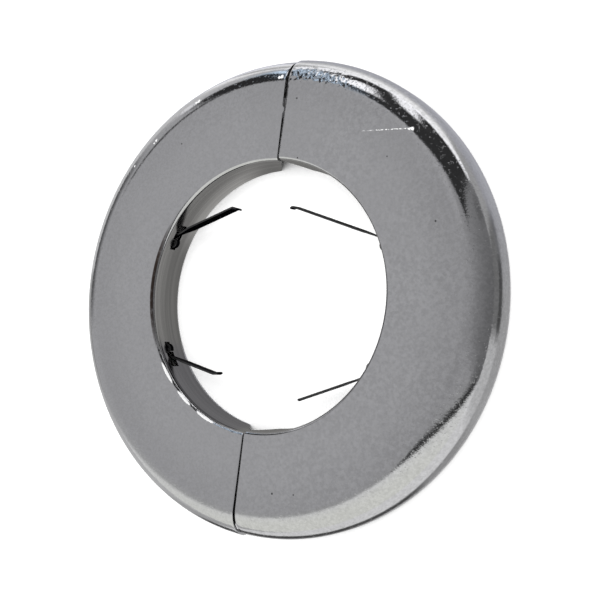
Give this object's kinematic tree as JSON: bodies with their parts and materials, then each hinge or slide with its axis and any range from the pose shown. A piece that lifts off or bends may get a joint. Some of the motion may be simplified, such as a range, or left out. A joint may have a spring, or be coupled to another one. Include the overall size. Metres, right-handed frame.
{
  "type": "split pipe rosette",
  "caption": "Split ring plate that covers the hole where a pipe enters a wall, with a concealed hinge, a concealed latch and spring clips that grip the pipe.",
  "frame": {"origin": "centre of the pipe hole on the wall plane, which is the back edge of the skirt", "axes": "+Z along the pipe, away from the wall and out of the face; +Y towards the latch seam, -Y towards the hinge seam"},
  "size_m": [0.108, 0.1084, 0.0092],
  "materials": {
    "chrome_plate": "chrome plated steel sheet with a slight grain",
    "plated_steel": "plain plated steel",
    "spring_steel": "dark blued spring steel"
  },
  "bodies": {
    "right": {"right_half": "chrome_plate", "hinge_ear": "plated_steel", "latch_tongue": "plated_steel"},
    "left": {"left_half": "chrome_plate", "hinge_bracket": "plated_steel", "hinge_rivet": "plated_steel", "latch_keeper": "plated_steel"},
    "clip_upper_left": {"spring_upper_left": "spring_steel"},
    "clip_lower_left": {"spring_lower_left": "spring_steel"},
    "clip_upper_right": {"spring_upper_right": "spring_steel"},
    "clip_lower_right": {"spring_lower_right": "spring_steel"}
  },
  "joints": [
    {"name": "hinge", "type": "hinge", "parent": "right", "child": "left", "pos_m": [-0.008, -0.05, 0.002], "axis": [0, 0, 1], "range_deg": [0, 80]},
    {"name": "clip_upper_left_flex", "type": "hinge", "parent": "left", "child": "clip_upper_left", "pos_m": [-0.02875, 0.01027, 0.0056], "axis": [0, 0, 1], "range_deg": [0, 17], "stiffness_Nm_per_rad": 0.25},
    {"name": "clip_lower_left_flex", "type": "hinge", "parent": "left", "child": "clip_lower_left", "pos_m": [-0.02663, -0.01527, 0.0056], "axis": [0, 0, -1], "range_deg": [0, 22], "stiffness_Nm_per_rad": 0.25},
    {"name": "clip_upper_right_flex", "type": "hinge", "parent": "right", "child": "clip_upper_right", "pos_m": [0.0275, 0.01361, 0.0056], "axis": [0, 0, -1], "range_deg": [0, 20], "stiffness_Nm_per_rad": 0.25},
    {"name": "clip_lower_right_flex", "type": "hinge", "parent": "right", "child": "clip_lower_right", "pos_m": [0.02784, -0.01249, 0.0056], "axis": [0, 0, 1], "range_deg": [0, 12], "stiffness_Nm_per_rad": 0.25}
  ]
}
